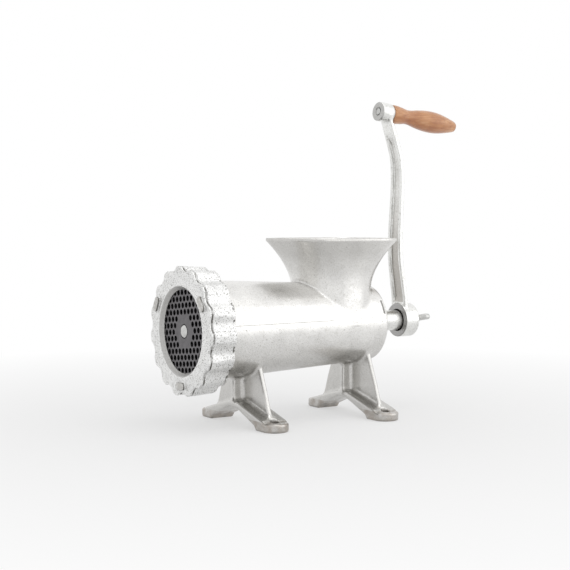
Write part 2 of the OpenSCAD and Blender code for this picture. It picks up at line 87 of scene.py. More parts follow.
foot_x, foot_y, foot_w = 71.5, 62.0, 30.0
pad_t, foot_hole_r = 9.5, 4.5
web_t, rib_t, web_top_y = 5.0, 7.0, 31.0
web_waist_y, web_waist_h = 46.0, 37.0
arch_h, arch_t = 20.5, 6.0

ring_front_r, ring_back_r, ring_ribs = 68.7, 66.7, 15
flute_depth, flute_r = 5.0, 11.5
lip_t, lip_front_r, lip_back_r = 5.2, 47.2, 43.2
lug_h, lug_len, lug_w, lug_place_r = 3.0, 17.0, 8.0, 57.0
first_rib_angle, first_lug_angle = -3.0, -63.0
bead_w, crease_r, crease_d = 2.4, 1.2, 1.3
ring_front_x = ring_low[0] + lug_h

hub_len, hub_r, hub_round = 19.6, 19.5, 3.0
hub_back_x = arm_high[0]
hub_front_x = hub_back_x - hub_len
crank_h, boss_back = 239.0, 30.0
arm_low_w, arm_top_w, arm_t = 27.0, 18.0, 5.2
channel_d, back_channel_d, flange_w = 2.8, 0.9, 4.5
handle_tilt = math.radians(7)
handle_boss_r, handle_boss_len, spindle_r = 11.0, 16.4, 3.6
shaft_r, flats_w, drive_recess = 11.6, 16.0, 6.0
washer_t = 1.6
grip_len, grip_r = 94.0, 12.4
face_gap = 0.1


# ---- Shapes as distances: negative inside, in millimetres ----

def rounded_cut(a, b, radius):
    """What lies in both shapes, with the edge between them rounded."""
    corner = np.hypot(np.maximum(a + radius, 0), np.maximum(b + radius, 0))
    return np.minimum(np.maximum(a, b), -radius) + corner


def filleted_join(a, b, radius):
    """Both shapes together, with a fillet in the corner between them."""
    corner = np.hypot(np.maximum(radius - a, 0), np.maximum(radius - b, 0))
    return np.maximum(np.minimum(a, b), radius) - corner


def polygon_distance(points, u, v):
    """Distance to a closed outline in a plane."""
    best = np.full(np.broadcast(u, v).shape, 1e9)
    inside = np.zeros(best.shape, bool)
    for (au, av), (bu, bv) in zip(points, points[1:] + points[:1]):
        eu, ev = bu - au, bv - av
        t = np.clip(((u - au) * eu + (v - av) * ev) / (eu * eu + ev * ev), 0, 1)
        best = np.minimum(best, np.hypot(u - au - t * eu, v - av - t * ev))
        if av != bv:
            crosses = (av > v) != (bv > v)
            inside ^= crosses & (u < au + (v - av) * eu / ev)
    return np.where(inside, -best, best)


def smooth_line(points, steps):
    """Smooth curve through points, with the given steps from one to the next."""
    p = np.array([points[0], *points, points[-1]], float)
    out = []
    for i in range(1, len(p) - 2):
        a, b, c, d = p[i - 1:i + 3]
        for u in np.arange(steps) / steps:
            out.append(0.5 * (2 * b + (c - a) * u + (2 * a - 5 * b + 4 * c - d) * u ** 2
                              + (3 * b - a - 3 * c + d) * u ** 3))
    return np.array(out + [p[-1]])


def lattice(low, high, cell):
    """Sample stations along X, Y and Z with two cells to spare on every side."""
    spans = [np.arange(a - 2 * cell, b + 3 * cell, cell) for a, b in zip(low, high)]
    return spans[0][:, None, None], spans[1][None, :, None], spans[2][None, None, :]


CORNERS = [(i, j, k) for i in (0, 1) for j in (0, 1) for k in (0, 1)]
EDGES = [(a, b) for a in CORNERS for b in CORNERS if sum(b) == sum(a) + 1
         and sum(abs(p - q) for p, q in zip(a, b)) == 1]


def net_points(field, cells):
    """One point in each cell that the surface crosses, at the middle of its crossings."""
    total = np.zeros((len(cells[0]), 3))
    hits = np.zeros(len(cells[0]))
    for a, b in EDGES:
        fa = field[cells[0] + a[0], cells[1] + a[1], cells[2] + a[2]]
        fb = field[cells[0] + b[0], cells[1] + b[1], cells[2] + b[2]]
        cross = (fa < 0) != (fb < 0)
        t = np.where(cross, fa / np.where(cross, fa - fb, 1), 0)
        total += cross[:, None] * (np.array(a) + t[:, None] * (np.array(b) - np.array(a)))
        hits += cross
    return np.stack(cells, 1) + total / hits[:, None]


def net_faces(inside, index):
    """One quad round each lattice edge that the surface crosses."""
    quads = []
    for axis in range(3):
        side = np.moveaxis(inside, (axis, (axis + 1) % 3, (axis + 2) % 3), (0, 1, 2))
        cell = np.moveaxis(index, (axis, (axis + 1) % 3, (axis + 2) % 3), (0, 1, 2))
        i, j, k = np.nonzero(side[:-1, 1:-1, 1:-1] != side[1:, 1:-1, 1:-1])
        j, k = j + 1, k + 1
        quad = np.stack([cell[i, j - 1, k - 1], cell[i, j, k - 1], cell[i, j, k], cell[i, j - 1, k]], 1)
        outward = side[i, j, k]
        quad[~outward] = quad[~outward][:, ::-1]
        quads.append(quad)
    return np.concatenate(quads)


def relax(points, quads, passes):
    """Evens the points out, a little towards their neighbours and back, so nothing shrinks."""
    a = np.concatenate([quads[:, i] for i in range(4)])
    b = np.concatenate([quads[:, (i + 1) % 4] for i in range(4)])
    count = np.bincount(a, minlength=len(points))[:, None]
    for share in (0.5, -0.52) * passes:
        mean = np.stack([np.bincount(a, points[b, c], len(points)) for c in range(3)], 1) / count
        points = points + share * (mean - points)
    return points


def value_noise(points, size, seed):
    """Smooth random value from -1 to 1 at each point, with bumps of about the given size."""
    p = points / size
    base = np.floor(p).astype(int)
    f = p - base
    f = f * f * (3 - 2 * f)
    total = 0
    for corner in CORNERS:
        c = base + corner
        h = (c[:, 0] * 73856093) ^ (c[:, 1] * 19349663) ^ (c[:, 2] * 83492791) ^ (seed * 2654435761)
        h = (h ^ (h >> 13)) * 1274126177 & 0x7FFFFFFF
        weight = np.prod(np.where(corner, f, 1 - f), axis=1)
        total = total + weight * ((h % 20011) / 10005 - 1)
    return total


def new_object(name, points, faces, smooth=True):
    """A mesh object from points in millimetres."""
    mesh = bpy.data.meshes.new(name)
    mesh.from_pydata((np.asarray(points) * MM).tolist(), [], [list(f) for f in faces])
    mesh.validate()
    mesh.polygons.foreach_set("use_smooth", [smooth] * len(mesh.polygons))
    mesh.update()
    obj = bpy.data.objects.new(name, mesh)
    bpy.context.scene.collection.objects.link(obj)
    return obj


def cast_object(name, shape, low, high, cell, waves=(), passes=2):
    """Mesh of a distance shape. waves are (size, height) pairs of the casting's unevenness."""
    x, y, z = lattice(low, high, cell)
    field = shape(x, y, z).astype(np.float32)
    inside = field < 0
    n = [s - 1 for s in field.shape]
    count = sum(inside[i:n[0] + i, j:n[1] + j, k:n[2] + k].astype(np.int8) for i, j, k in CORNERS)
    cells = np.nonzero((count > 0) & (count < 8))
    index = np.full(n, -1)
    index[cells] = np.arange(len(cells[0]))
    quads = net_faces(inside, index)
    points = relax(net_points(field, cells), quads, passes)
    points = points * cell + np.array([x[0, 0, 0], y[0, 0, 0], z[0, 0, 0]])
    obj = new_object(name, points, quads)
    if waves:
        normals = np.zeros(len(points) * 3)
        obj.data.vertices.foreach_get("normal", normals)
        lift = sum(h * value_noise(points, s, 7 + i) for i, (s, h) in enumerate(waves))
        points = points + normals.reshape(-1, 3) * (lift - sum(h for _, h in waves))[:, None]
        obj.data.vertices.foreach_set("co", (points * MM).ravel())
        obj.data.update()
    return obj


def axis_radius(y, z):
    """Distance from the screw axis."""
    return np.hypot(y, z - axis_h)


# ---- Body casting ----

def barrel_outer_r(x):
    return barrel_front_r + (barrel_rear_r - barrel_front_r) * (x - ring_back_x) / (rear_x - ring_back_x)


def barrel_bore_r(x):
    share = (x - recess_back_x) / (bore_end_x - recess_back_x)
    return barrel_front_r - barrel_wall + (barrel_rear_r - barrel_front_r) * share


wall_lean = 0.93  # Share of a level distance that is left square to the leaning wall


def hopper_side(x, y, z, inset):
    """Distance to the hopper's wall, which goes from a round neck to a squarish rim."""
    t = np.clip((z - rim_h + flare_h) / (flare_h - rim_lip), 0, 1) ** flare_power
    hx = neck_r + (rim_half_x - neck_r) * t - inset
    hy = neck_r + (rim_half_y - neck_r) * t - inset
    power = 2 + 2 * t
    f = (np.abs(x - hopper_x) / hx) ** power + (np.abs(y) / hy) ** power
    return (f ** (1 / power) - 1) * np.minimum(hx, hy) * wall_lean


arch_foot_y = foot_y - foot_w / 2
web_low_y = foot_y - 6
leg_top_h = axis_h - (barrel_rear_r - barrel_wall) / 2


def both_sides(half):
    """A closed outline from its half on the +Y side, listed from the middle to the middle."""
    return half + [(-u, v) for u, v in reversed(half) if u > 0]


arch_outline = both_sides([
    (0.0, arch_h), (8.0, arch_h - 1.7), (arch_foot_y - 3, pad_t / 2), (arch_foot_y + 1, 0.0),
    (foot_y + foot_w, 0.0), (foot_y + foot_w, pad_t), (foot_y + 3, pad_t), (foot_y - 2, pad_t + 2.5),
    (10.0, arch_h + arch_t - 1), (0.0, arch_h + arch_t)])
web_outline = both_sides([
    (0.0, arch_h), (8.0, arch_h - 1.7), (arch_foot_y, pad_t / 2), (web_low_y + 2, pad_t / 2),
    (web_low_y, pad_t + 3), (web_low_y - 5, pad_t + 13), (web_waist_y, web_waist_h),
    (web_top_y, axis_h - math.sqrt(barrel_rear_r ** 2 - web_top_y ** 2)), (0.0, leg_top_h)])


pad_round, web_round, rib_round, web_fillet, rib_fillet = 2.2, 1.2, 2.0, 4.0, 5.0


def leg_shape(x, y, z, leg_x):
    """One pair of feet: arch with round pads, web plate and middle rib."""
    dx = np.abs(x - leg_x)
    ay = np.abs(y)
    plan = np.where(ay < foot_y, dx - foot_w / 2, np.hypot(dx, ay - foot_y) - foot_w / 2)
    arch = rounded_cut(polygon_distance(arch_outline, y, z), plan, pad_round)
    web = rounded_cut(polygon_distance(web_outline, y, z), dx - web_t / 2, web_round)
    rib = rounded_cut(dx - foot_w / 2, ay - rib_t / 2, rib_round)
    rib = np.maximum(rib, np.maximum(arch_h + 1 - z, z - leg_top_h))
    return filleted_join(filleted_join(arch, web, web_fillet), rib, rib_fillet)


# Rounds and fillets of the casting, and how far its cuts run on past a face
edge_round, rim_round, body_fillet, hopper_fillet = 1.2, 0.7, 4.0, 2.0
step_gap, seat_gap, bore_reach, bush_reach, hole_reach = 0.5, 0.05, 3.0, 2.0, 9.0
boss_start_x = 60.0
parting_h = 7.5
slit_x, slit_low, slit_high, slit_r = 86.8, 12.0, 26.0, 1.5


def body_shape(x, y, z):
    r = axis_radius(y, z)
    barrel = rounded_cut(r - barrel_outer_r(x) + 0 * x, x - rear_x + 0 * r, rear_round)
    taper = boss_taper * np.clip((boss_end_x - x) / (boss_end_x - rear_x), 0, 1)
    boss = rounded_cut(r - boss_r - taper, x - boss_end_x + 0 * r, edge_round)
    body = filleted_join(barrel, np.maximum(boss, boss_start_x - x), body_fillet)
    body = np.maximum(body, ring_back_x - step_gap - x)
    # Short slit in the rounded back edge of the barrel
    slit = np.hypot(x - slit_x, r - barrel_outer_r(x) + 0.3) - slit_r
    slit = np.maximum(slit, np.maximum(slit_low - (z - axis_h), (z - axis_h) - slit_high))
    body = np.maximum(body, -slit)
    collar = np.maximum(r - collar_r + 0 * x, np.maximum(collar_front_x - x, x - ring_back_x + step_gap))
    body = np.minimum(body, collar)
    top = int(np.searchsorted(z.ravel(), axis_h))
    zt = z[:, :, top:]
    outside = rounded_cut(hopper_side(x, y, zt, 0), zt - rim_h + 0 * x, rim_round)
    body[:, :, top:] = filleted_join(body[:, :, top:], outside, hopper_fillet)
    for leg_x in (-foot_x, foot_x):
        i0, i1 = np.searchsorted(x.ravel(), (leg_x - foot_w, leg_x + foot_w))
        low = slice(0, top)
        leg = leg_shape(x[i0:i1], y, z[:, :, low], leg_x)
        body[i0:i1, :, low] = filleted_join(body[i0:i1, :, low], leg, body_fillet)
    body = np.maximum(body, -z)
    bore = np.maximum(r - barrel_bore_r(x), np.maximum(x - bore_end_x, collar_front_x - bore_reach - x))
    bore = np.minimum(bore, np.maximum(r - recess_r + 0 * x, x - recess_back_x))
    inside = hopper_side(x, y, zt, hopper_wall)
    bore[:, :, top:] = np.minimum(bore[:, :, top:], inside)
    body = rounded_cut(body, -bore, edge_round)
    bush_r = (bush_high[2] - bush_low[2]) / 2 - bush_flange_w
    body = np.maximum(body, -np.maximum(r - bush_r - seat_gap, bore_end_x - bush_reach - x))
    for leg_x in (-foot_x, foot_x):
        hole = np.hypot(x - leg_x, np.abs(y) - foot_y) - foot_hole_r
        body = np.maximum(body, -np.maximum(hole, z - pad_t - hole_reach))
    return body


# ---- Ring nut ----

rib_edge, bead_round, back_round, lip_round = 2.6, 1.3, 1.4, 1.2
lug_corner, lug_edge, lug_fillet, lug_root = 3.4, 0.9, 0.8, 2.0


def ring_shape(x, y, z):
    r = axis_radius(y, z)
    angle = np.degrees(np.arctan2(-y, z - axis_h))
    share = (x - ring_front_x) / (ring_back_x - ring_front_x)
    cone = r - ring_front_r - (ring_back_r - ring_front_r) * share
    pitch = 360 / ring_ribs
    folded = np.radians((angle - first_rib_angle) % pitch - pitch / 2)
    flute_x = r * np.cos(folded) - (ring_front_r - flute_depth + flute_r)
    flute = np.hypot(flute_x, r * np.sin(folded)) - flute_r
    ring = rounded_cut(cone, -flute + 0 * x, rib_edge)
    # The front edge is a bead, with a crease behind it that follows the ribs
    crease = np.hypot(x - ring_front_x - bead_w - crease_r, ring + crease_r - crease_d) - crease_r
    ring = np.maximum(ring, -crease)
    ring = rounded_cut(ring, ring_front_x - x + 0 * r, bead_round)
    ring = rounded_cut(ring, x - ring_back_x + 0 * r, back_round)
    for k in range(3):
        lug = np.radians(angle - (first_lug_angle + 120 * k))
        along = np.abs(r * np.sin(lug)) - lug_len / 2
        across = np.abs(r * np.cos(lug) - lug_place_r) - lug_w / 2
        block = rounded_cut(along, across, lug_corner) + 0 * x
        block = rounded_cut(block, ring_front_x - lug_h - x + 0 * r, lug_edge)
        block = np.maximum(block, x - ring_front_x - lug_root)
        ring = filleted_join(ring, block, lug_fillet)
    lip = (x - ring_front_x) / lip_t
    mouth = r - lip_front_r - (lip_back_r - lip_front_r) * np.clip(lip, -1, 1)
    ring = rounded_cut(ring, -mouth, lip_round)
    thread = np.maximum(r - collar_r - thread_play + 0 * x, ring_front_x + lip_t - x)
    return np.maximum(ring, -thread)


# ---- Crank arm ----

boss_mid = np.array([hub_front_x + hub_len / 2 - boss_back, 0, axis_h + crank_h])
handle_axis = np.array([math.cos(handle_tilt), 0, -math.sin(handle_tilt)])
# Front face of the arm from the hub up to the handle boss, as shares of boss_back and crank_h
arm_line = smooth_line([
    (hub_front_x + u * boss_back, axis_h + v * crank_h) for u, v in (
        (0.084, 0.02), (0.049, 0.11), (-0.052, 0.195), (-0.15, 0.29), (-0.171, 0.365),
        (-0.147, 0.47), (-0.098, 0.583), (-0.073, 0.68), (-0.126, 0.775), (-0.227, 0.825),
        (-0.353, 0.873), (-0.479, 0.919), (-0.647, 0.98))], 4)


def behind_line(x, z):
    """How far a point lies behind the arm's front face, measured square to it."""
    best = np.full(np.broadcast(x, z).shape, 1e9)
    signed = np.zeros(best.shape)
    for (ax, az), (bx, bz) in zip(arm_line[:-1], arm_line[1:]):
        ex, ez = bx - ax, bz - az
        t = np.clip(((x - ax) * ex + (z - az) * ez) / (ex * ex + ez * ez), 0, 1)
        px, pz = x - ax - t * ex, z - az - t * ez
        d = np.hypot(px, pz)
        side = np.sign(px * ez - pz * ex)
        signed = np.where(d < best, side * d, signed)
        best = np.minimum(best, d)
    return signed


# Rounds and fillets of the arm, the room round the washer, and the plays of its holes
arm_round, hub_edge, boss_round, hub_fillet, boss_fillet = 1.5, 0.9, 1.1, 1.6, 2.4
relief_w, drive_play, drive_room, drive_edge = 3.0, 0.05, 0.8, 0.5
spindle_play, hole_flare, hole_flare_t, hole_edge = 0.02, 1.1, 1.2, 0.4
# Below this height over the axis nothing of the arm stands in front of its hub
clear_h, far_off = 12.0, 60.0


def arm_shape(x, y, z):
    r = axis_radius(y, z)
    rise = np.clip((z - axis_h) / crank_h, 0, 1)
    half_w = (arm_low_w + (arm_top_w - arm_low_w) * rise) / 2
    into = np.clip((half_w - flange_w + 0.5 - np.abs(y)) / 1.0, 0, 1)
    ends = np.clip((rise - 0.08) / 0.03, 0, 1) * np.clip((0.9 - rise) / 0.05, 0, 1)
    hollow = into * into * (3 - 2 * into) * ends
    behind = behind_line(x, z)
    thick = np.maximum(channel_d * hollow - behind, behind - arm_t + back_channel_d * hollow)
    arm = rounded_cut(thick, np.abs(y) - half_w + 0 * x, arm_round)
    arm = np.maximum(arm, np.maximum(axis_h - z, z - arm_line[-1][1]))
    u = (x - boss_mid[0]) * handle_axis[0] + (z - boss_mid[2]) * handle_axis[2]
    w = (x - boss_mid[0]) * handle_axis[2] - (z - boss_mid[2]) * handle_axis[0]
    q = np.hypot(w, y)
    relief = np.maximum(q - handle_boss_r - relief_w, handle_boss_len / 2 - u)
    arm = np.maximum(arm, -relief)
    hub = rounded_cut(r - hub_r + 0 * x, x - hub_back_x + 0 * r, hub_round)
    hub = rounded_cut(hub, hub_front_x - x + 0 * r, hub_edge)
    boss = rounded_cut(q - handle_boss_r, np.abs(u) - handle_boss_len / 2 + 0 * y, boss_round)
    arm = filleted_join(filleted_join(arm, hub, hub_fillet), boss, boss_fillet)
    arm = np.maximum(arm, -relief)
    arm = np.maximum(arm, hub_front_x - x - far_off * (z > axis_h + clear_h))
    drive = np.maximum(r - shaft_r - drive_play, np.abs(y) - flats_w / 2 - drive_play) + 0 * x
    drive = np.minimum(drive, np.maximum(r - shaft_r - drive_room, x - hub_front_x - drive_recess))
    arm = rounded_cut(arm, -drive, drive_edge)
    flare = np.maximum(q - spindle_r - hole_flare, u + handle_boss_len / 2 - hole_flare_t)
    hole = np.minimum(q - spindle_r - spindle_play, flare)
    return rounded_cut(arm, -hole, hole_edge)


# ---- Thumb screw ----

screw_low, screw_high = node_box("thumb_screw")
screw_head_x = hub_back_x + washer_t
screw_r, wing_t, wing_turn = 5.0, 7.0, math.radians(165)
head_r, head_h, head_taper, head_round, head_edge = 8.0, 9.0, 2.2, 2.5, 0.4
wing_round, wing_fillet = 3.0, 2.0
wing_outline = [(-3.0, 0.0), (8.0, 0.0), (13.0, 4.5), (17.0, 9.0), (15.8, 15.0), (12.5, 17.0),
                (9.0, 11.5), (6.0, 9.0), (-3.0, 9.0)]


def thumb_shape(x, y, z):
    r = axis_radius(y, z)
    zz = z - axis_h
    out = np.abs(y * math.cos(wing_turn) + zz * math.sin(wing_turn))
    aside = np.abs(y * math.sin(wing_turn) - zz * math.cos(wing_turn))
    wing = polygon_distance(wing_outline, out, x - screw_head_x - 1)
    wing = rounded_cut(wing, aside - wing_t / 2, wing_round)
    taper = head_taper * np.clip((x - screw_head_x) / head_h, 0, 1)
    head = rounded_cut(r - head_r + taper, x - screw_head_x - head_h + 0 * r, head_round)
    head = rounded_cut(head, screw_head_x - x + 0 * r, head_edge)
    stem = np.maximum(r - screw_r + 0 * x, np.maximum(screw_low[0] - x, x - screw_head_x))
    return np.minimum(filleted_join(head, wing, wing_fillet), stem)


# ---- Screw ----

core_r, flight_pitch, flight_t, journal_r, square_w = 16.0, 46.0, 8.0, 12.0, 19.0
core_taper, flight_gap, flight_edge, flight_fillet = 2.0, 0.8, 1.0, 3.0
flight_thinning, flight_lean = 0.4, 0.95
flange_t, flange_gap, flange_edge = 6.0, 8.0, 0.5
screw_bore_r, screw_bore_len, stud_hole_r, stud_hole_len = 5.15, 27.0, 5.02, 16.0
shoulder_x = bore_end_x - washer_t - 2 * face_gap
flight_front_x, flight_back_x = knife_high[0] + 2, bore_end_x - 8


def auger_shape(x, y, z):
    r = axis_radius(y, z)
    angle = np.degrees(np.arctan2(y, axis_h - z))
    turn = (flight_back_x - flight_t / 2 - x) / flight_pitch * 360
    off = ((angle - turn + 180) % 360 - 180) / 360 * flight_pitch
    tip = barrel_bore_r(x) - flight_gap
    share = np.clip((r - core_r) / (tip - core_r), 0, 1)
    half_t = flight_t * (1 - flight_thinning * share) / 2
    flight = rounded_cut(np.abs(off) * flight_lean - half_t, r - tip, flight_edge)
    flight = np.maximum(flight, np.maximum(flight_front_x - x, x - flight_back_x))
    core = r - core_r - core_taper * np.clip((x - knife_high[0]) / (shoulder_x - knife_high[0]), 0, 1)
    core = np.maximum(core, np.maximum(knife_high[0] + face_gap - x, x - shoulder_x + 5))
    screw = filleted_join(flight, core, flight_fillet)
    flange = np.maximum(shoulder_x - flange_t - x, x - shoulder_x)
    flange = rounded_cut(r - barrel_rear_r + barrel_wall + flange_gap, flange, flange_edge)
    screw = np.minimum(screw, flange)
    shaft = np.maximum(r - journal_r + 0 * x, np.maximum(shoulder_x - 2 - x, x - bush_high[0]))
    drive = rounded_cut(r - shaft_r + 0 * x, x - auger_high[0] + 0 * r, 1.0)
    drive = np.maximum(drive, shoulder_x - x)
    flats_x = hub_front_x + drive_recess - face_gap
    drive = np.maximum(drive, np.minimum(np.abs(y) - flats_w / 2, x - flats_x))
    square = np.maximum(np.maximum(np.abs(y), np.abs(z - axis_h)) - square_w / 2 + 0 * x,
                        np.maximum(auger_low[0] - x, x - knife_high[0] - 1))
    screw = np.minimum(np.minimum(screw, shaft), np.minimum(drive, square))
    bore = np.maximum(r - screw_bore_r + 0 * x, hub_back_x - screw_bore_len - x)
    stud = np.maximum(r - stud_hole_r + 0 * x, x - knife_high[0] - stud_hole_len)
    return np.maximum(np.maximum(screw, -bore), -stud)


# ---- Wooden grip ----

grip_line = smooth_line([
    (u * grip_len, v * grip_r) for u, v in (
        (0, 0.806), (0.031, 0.853), (0.082, 0.845), (0.158, 0.767), (0.232, 0.667), (0.309, 0.705),
        (0.387, 0.829), (0.463, 0.915), (0.539, 0.977), (0.616, 1), (0.694, 0.977), (0.772, 0.899),
        (0.85, 0.783), (0.929, 0.636), (0.974, 0.543), (1, 0.473))], 4)
end_recess, end_head_r = 5.0, 5.0
bore_play, head_play, grip_sides = 0.06, 0.3, 72


def turned_object(name, outline, sides):
    """A turned piece on the handle's axis, from (along, radius) points of a closed outline."""
    start = boss_mid + handle_axis * (handle_boss_len / 2 + washer_t + face_gap)
    up = np.cross(handle_axis, (0, 1, 0))
    turn = np.linspace(0, 2 * math.pi, sides, endpoint=False)
    rings = [start + handle_axis * a + r * (np.outer(np.cos(turn), up) + np.outer(np.sin(turn), (0, 1, 0)))
             for a, r in outline]
    n = len(outline)
    faces = [(i * sides + k, i * sides + (k + 1) % sides, (i + 1) % n * sides + (k + 1) % sides,
              (i + 1) % n * sides + k) for i in range(n) for k in range(sides)]
    return new_object(name, np.concatenate(rings), faces)


def grip_object():
    bore = spindle_r + bore_play
    head = end_head_r + head_play
    outline = [(0.5, bore), (0, bore + 0.5), (0, grip_line[0][1] - 0.9), (0.3, grip_line[0][1] - 0.3)]
    outline += [(a, r) for a, r in grip_line[1:-1]]
    outline += [(grip_len - 0.4, grip_line[-1][1] - 0.1), (grip_len, head + 0.45), (grip_len - 0.35, head)]
    recess_x = grip_len - end_recess - face_gap
    outline += [(recess_x, head), (recess_x, bore)]
    return turned_object("wooden_grip", outline, grip_sides)


# ---- Materials ----

def linear(hex_colour):
    """An sRGB hex colour as linear RGBA."""
    parts = [int(hex_colour[i:i + 2], 16) / 255 for i in (1, 3, 5)]
    return [c / 12.92 if c <= 0.04045 else ((c + 0.055) / 1.055) ** 2.4 for c in parts] + [1.0]


def add(tree, kind, inputs=None, stops=(), **settings):
    """Adds a node. inputs are sockets to link from or plain values, stops a ramp's (place, colour)."""
    node = tree.nodes.new(kind)
    for key, value in settings.items():
        setattr(node, key, value)
    for key, value in (inputs or {}).items():
        if isinstance(value, bpy.types.NodeSocket):
            tree.links.new(value, node.inputs[key])
        else:
            node.inputs[key].default_value = value
    for i, (at, colour) in enumerate(stops):
        element = node.color_ramp.elements[i] if i < 2 else node.color_ramp.elements.new(at)
        element.position = at
        element.color = linear(colour) if isinstance(colour, str) else [colour] * 3 + [1]
    return node


def new_material(name, metallic, roughness, **sockets):
    """A material with its shader, and the place on the object as the pattern's coordinate."""
    material = bpy.data.materials.new(name)
    material.use_nodes = True
    tree = material.node_tree
    shader = tree.nodes["Principled BSDF"]
    shader.inputs["Metallic"].default_value = metallic
    shader.inputs["Roughness"].default_value = roughness
    for key, value in sockets.items():
        shader.inputs[key.replace("_", " ")].default_value = value
    place = add(tree, "ShaderNodeTexCoord").outputs["Object"]
    return material, tree, shader, place


NOISE, RAMP, BUMP = "ShaderNodeTexNoise", "ShaderNodeValToRGB", "ShaderNodeBump"
MIX, RANGE, MATH = "ShaderNodeMix", "ShaderNodeMapRange", "ShaderNodeMath"


def tinned_iron(name, light, dark, roughness, sand, pitting):
    """Grey iron cast in sand, then hot tinned. The eye gets a bright silvery skin that keeps the sand's
    grain, with small grey pits where the tin didn't take, and painted shade that darkens the corners.
    sand is (grain size, depth, colour of its hollows) and pitting (pit size, threshold), with the
    lengths in millimetres."""
    material, tree, shader, place = new_material(name, 1.0, roughness)
    cloud = add(tree, NOISE, {"Vector": place, "Scale": 1 / (16 * MM), "Detail": 4.0}).outputs["Fac"]
    colour = add(tree, RAMP, {"Fac": cloud}, [(0.36, dark), (0.6, light)]).outputs["Color"]
    grain = add(tree, NOISE, {"Vector": place, "Scale": 1 / (sand[0] * MM), "Detail": 4.0}).outputs["Fac"]
    fleck = add(tree, RAMP, {"Fac": grain}, [(0.33, sand[2]), (0.46, "#FFFFFF")]).outputs["Color"]
    colour = add(tree, MIX, {0: 1.0, 6: colour, 7: fleck}, data_type="RGBA", blend_type="MULTIPLY").outputs[2]
    spots = add(tree, NOISE, {"Vector": place, "Scale": 1 / (pitting[0] * MM), "Detail": 1.0}).outputs["Fac"]
    pit = add(tree, RAMP, {"Fac": spots}, [(pitting[1] - 0.04, 1.0), (pitting[1], 0.0)]).outputs["Color"]
    colour = add(tree, MIX, {0: pit, 6: colour, 7: linear("#6B6964")}, data_type="RGBA").outputs[2]
    # Painted shade: ambient occlusion darkens the base colour in corners and creases
    occlusion_fac = add(tree, "ShaderNodeAmbientOcclusion", {"Distance": 7 * MM}, samples=8).outputs["AO"]
    painted_corner_shade = add(tree, RAMP, {"Fac": occlusion_fac}, [(0.3, "#6F6D69"), (0.8, "#FFFFFF")]).outputs["Color"]
    colour = add(tree, MIX, {0: 1.0, 6: colour, 7: painted_corner_shade}, data_type="RGBA", blend_type="MULTIPLY").outputs[2]
    tree.links.new(colour, shader.inputs["Base Color"])
    rough = add(tree, RANGE, {"Value": grain, "From Min": 0.3, "From Max": 0.7,
                              "To Min": roughness + 0.08, "To Max": roughness - 0.06}).outputs["Result"]
    tree.links.new(rough, shader.inputs["Roughness"])
    normal = add(tree, BUMP, {"Height": grain, "Distance": sand[1] * MM, "Strength": 1.0}).outputs["Normal"]
    floor_of_pit = add(tree, MATH, {0: 1.0, 1: pit}, operation="SUBTRACT").outputs[0]
    normal = add(tree, BUMP, {"Height": floor_of_pit, "Distance": 0.12 * MM, "Strength": 1.0,
                              "Normal": normal}).outputs["Normal"]
    tree.links.new(normal, shader.inputs["Normal"])
    return material


def coordinates(material):
    """X, Y and Z of a point on the grinder, and its distance from the screw axis."""
    tree = material.node_tree
    place = add(tree, "ShaderNodeTexCoord").outputs["Object"]
    split = add(tree, "ShaderNodeSeparateXYZ", {0: place}).outputs
    centred = add(tree, "ShaderNodeVectorMath", {0: place, 1: (0, 0, -axis_h * MM)}).outputs[0]
    across = add(tree, "ShaderNodeVectorMath", {0: centred, 1: (0, 1, 1)}, operation="MULTIPLY").outputs[0]
    radius = add(tree, "ShaderNodeVectorMath", {0: across}, operation="LENGTH").outputs["Value"]
    return split["X"], split["Y"], split["Z"], radius


def mark(material, colour, share, *bands):
    """Gives the metal another colour, by the given share, where every band holds. A band is
    (coordinate, from, to) in millimetres, and its ends fade out over 0.4 mm."""
    tree = material.node_tree
    shader = tree.nodes["Principled BSDF"]
    for value, low, high in bands:
        off = add(tree, MATH, {0: value, 1: (low + high) / 2 * MM}, operation="SUBTRACT").outputs[0]
        off = add(tree, MATH, {0: off}, operation="ABSOLUTE").outputs[0]
        half = (high - low) / 2 * MM
        inside = add(tree, RANGE, {"Value": off, "From Min": half + 0.2 * MM, "From Max": half - 0.2 * MM,
                                   "To Min": 0.0, "To Max": 1.0}).outputs["Result"]
        share = add(tree, MATH, {0: share, 1: inside}, operation="MULTIPLY").outputs[0]
    under = shader.inputs["Base Color"].links[0].from_socket
    over = add(tree, MIX, {0: share, 6: under, 7: linear(colour)}, data_type="RGBA").outputs[2]
    tree.links.new(over, shader.inputs["Base Color"])


def wear_and_shade_patches(material, size, low, high):
    """Share in patches of the given size in millimetres, for worn bare iron and for painted shade."""
    tree = material.node_tree
    place = add(tree, "ShaderNodeTexCoord").outputs["Object"]
    patch = add(tree, NOISE, {"Vector": place, "Scale": 1 / (size * MM), "Detail": 3.0}).outputs["Fac"]
    return add(tree, RANGE, {"Value": patch, "From Min": low, "From Max": high}).outputs["Result"]


